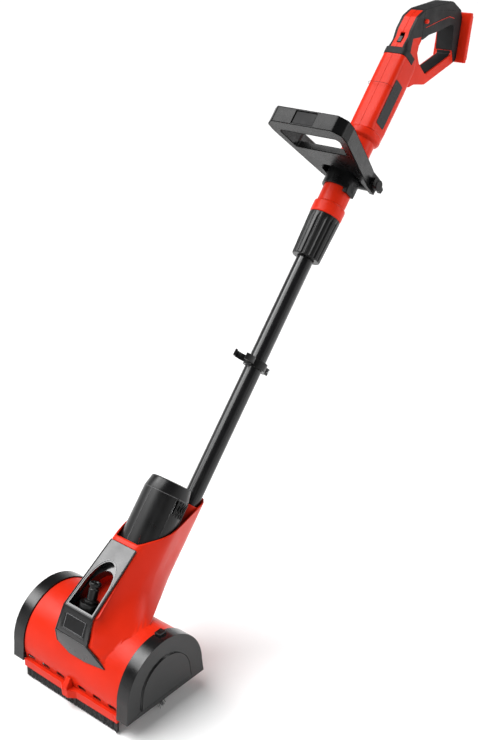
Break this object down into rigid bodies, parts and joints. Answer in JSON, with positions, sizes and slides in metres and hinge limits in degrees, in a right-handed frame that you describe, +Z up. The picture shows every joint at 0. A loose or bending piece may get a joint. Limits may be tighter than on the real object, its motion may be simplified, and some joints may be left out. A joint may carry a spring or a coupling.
{
  "type": "cordless powered drum brush with telescopic pole",
  "caption": "Long-handled cordless powered brush: a spinning drum brush under an arched hood, motor on the head, telescopic pole, front handle and rear D-grip with battery seat.",
  "frame": {"origin": "centre of the bounding box's footprint, on the floor the brush stands on", "axes": "+X along the drum's axis, towards the side with the pull-off cover and the clamp knob; +Y from the brush head back towards the rear handle; +Z up"},
  "size_m": [0.258, 1.0274, 0.9394],
  "materials": {
    "red_shell": "glossy injection-moulded red plastic",
    "black_shell": "satin black moulded plastic",
    "satin_trim": "satin charcoal plastic trim",
    "rubber": "matt black soft overmould",
    "bristle": "black nylon bristles",
    "steel": "plain turned steel",
    "black_tube": "gloss black painted aluminium tube",
    "label": "plain black label film",
    "board": "green circuit board"
  },
  "bodies": {
    "head": {"head_housing": "red_shell", "front_trim": "satin_trim", "name_plate": "label", "hose_connector_base": "black_shell", "hose_connector_stub": "black_shell", "water_nozzle": "black_shell", "left_cover": "black_shell", "strip_holder": "red_shell", "bristle_strip": "bristle", "drive_end_plate": "black_shell", "left_bearing": "steel", "shaft_tube": "steel", "drive_belt": "rubber", "motor_can": "steel", "gearbox_case": "steel", "motor_housing": "black_shell", "pole_tube": "black_tube", "pole_screw": "steel"},
    "drum": {"drum_shaft": "steel", "drum_core": "black_shell", "brush_bristles": "bristle", "drum_pulley": "black_shell"},
    "cross": {"cross_shaft": "steel", "small_pulley": "steel", "bevel_gear": "steel"},
    "output": {"output_shaft": "steel", "bevel_pinion": "steel"},
    "rotor": {"motor_shaft": "steel", "cooling_fan": "black_shell"},
    "cover": {"right_cover": "black_shell", "right_bearing": "steel", "latch_spring": "steel"},
    "latch": {"cover_latch": "black_shell"},
    "clip": {"hose_clip": "black_shell", "clip_screw": "steel"},
    "handle": {"neck_sleeve": "red_shell", "clamp_collet": "black_shell", "handle_shell_left": "red_shell", "handle_shell_right": "red_shell", "soft_grip": "rubber", "grip_band": "rubber", "side_label": "label", "microswitch": "black_shell", "control_board": "board", "battery_foot": "red_shell", "battery_terminals": "black_shell", "trigger_spring": "steel"},
    "collar": {"twist_collar": "black_shell"},
    "bracket": {"front_bracket": "black_shell"},
    "front_handle": {"front_handle": "black_shell", "grip_inset": "rubber"},
    "knob": {"clamp_knob": "black_shell", "pivot_bolt": "steel"},
    "trigger": {"trigger": "black_shell"},
    "lock_button": {"lock_button": "red_shell"},
    "speed_switch": {"speed_switch": "black_shell"}
  },
  "joints": [
    {"name": "drum_spin", "type": "hinge", "parent": "head", "child": "drum", "pos_m": [0, -0.42369, 0.0575], "axis": [1, 0, 0], "continuous": true},
    {"name": "cross_shaft_spin", "type": "hinge", "parent": "head", "child": "cross", "pos_m": [0, -0.40922, 0.12167], "axis": [1, 0, 0], "continuous": true},
    {"name": "output_shaft_spin", "type": "hinge", "parent": "head", "child": "output", "pos_m": [0, -0.28705, 0.26059], "axis": [0, 0.6604, 0.7509], "continuous": true},
    {"name": "rotor_spin", "type": "hinge", "parent": "head", "child": "rotor", "pos_m": [0, -0.28705, 0.26059], "axis": [0, 0.6604, 0.7509], "continuous": true},
    {"name": "right_cover_pull", "type": "slide", "parent": "head", "child": "cover", "axis": [1, 0, 0], "range_m": [0, 0.06]},
    {"name": "latch_press", "type": "slide", "parent": "cover", "child": "latch", "axis": [0, 0, -1], "range_m": [0, 0.0025], "stiffness_N_per_m": 500, "springref_m": -0.001, "deforming": ["latch_spring"]},
    {"name": "hose_clip_slide", "type": "slide", "parent": "head", "child": "clip", "axis": [0, 0.6604, 0.7509], "range_m": [-0.12, 0.08]},
    {"name": "telescope_slide", "type": "slide", "parent": "head", "child": "handle", "axis": [0, 0.6604, 0.7509], "range_m": [-0.1, 0.05]},
    {"name": "collar_twist", "type": "hinge", "parent": "handle", "child": "collar", "pos_m": [0, -0.23749, 0.217], "axis": [0, 0.6604, 0.7509], "range_deg": [0, 60]},
    {"name": "bracket_slide", "type": "slide", "parent": "handle", "child": "bracket", "axis": [0, 0.6604, 0.7509], "range_m": [-0.02, 0.034]},
    {"name": "front_handle_tilt", "type": "hinge", "parent": "bracket", "child": "front_handle", "pos_m": [0, 0.20268, 0.66753], "axis": [1, 0, 0], "range_deg": [-20, 20]},
    {"name": "clamp_knob_turn", "type": "hinge", "parent": "front_handle", "child": "knob", "pos_m": [0, 0.20268, 0.66753], "axis": [1, 0, 0], "range_deg": [-90, 270]},
    {"name": "trigger_pull", "type": "hinge", "parent": "handle", "child": "trigger", "pos_m": [0, 0.41431, 0.91], "axis": [-1, 0, 0], "range_deg": [0, 9], "stiffness_Nm_per_rad": 0.6, "springref_deg": -5.73, "deforming": ["trigger_spring"]},
    {"name": "lock_button_press", "type": "slide", "parent": "handle", "child": "lock_button", "axis": [1, 0, 0], "range_m": [-0.003, 0.003], "stiffness_N_per_m": 300},
    {"name": "speed_switch_slide", "type": "slide", "parent": "handle", "child": "speed_switch", "axis": [0, 0.6604, 0.7509], "range_m": [0, 0.006]}
  ],
  "couplings": [
    {"joint": "cross_shaft_spin", "follows": "drum_spin", "ratio": 3.6364},
    {"joint": "output_shaft_spin", "follows": "drum_spin", "ratio": 5.6566},
    {"joint": "rotor_spin", "follows": "drum_spin", "ratio": 22.626}
  ]
}
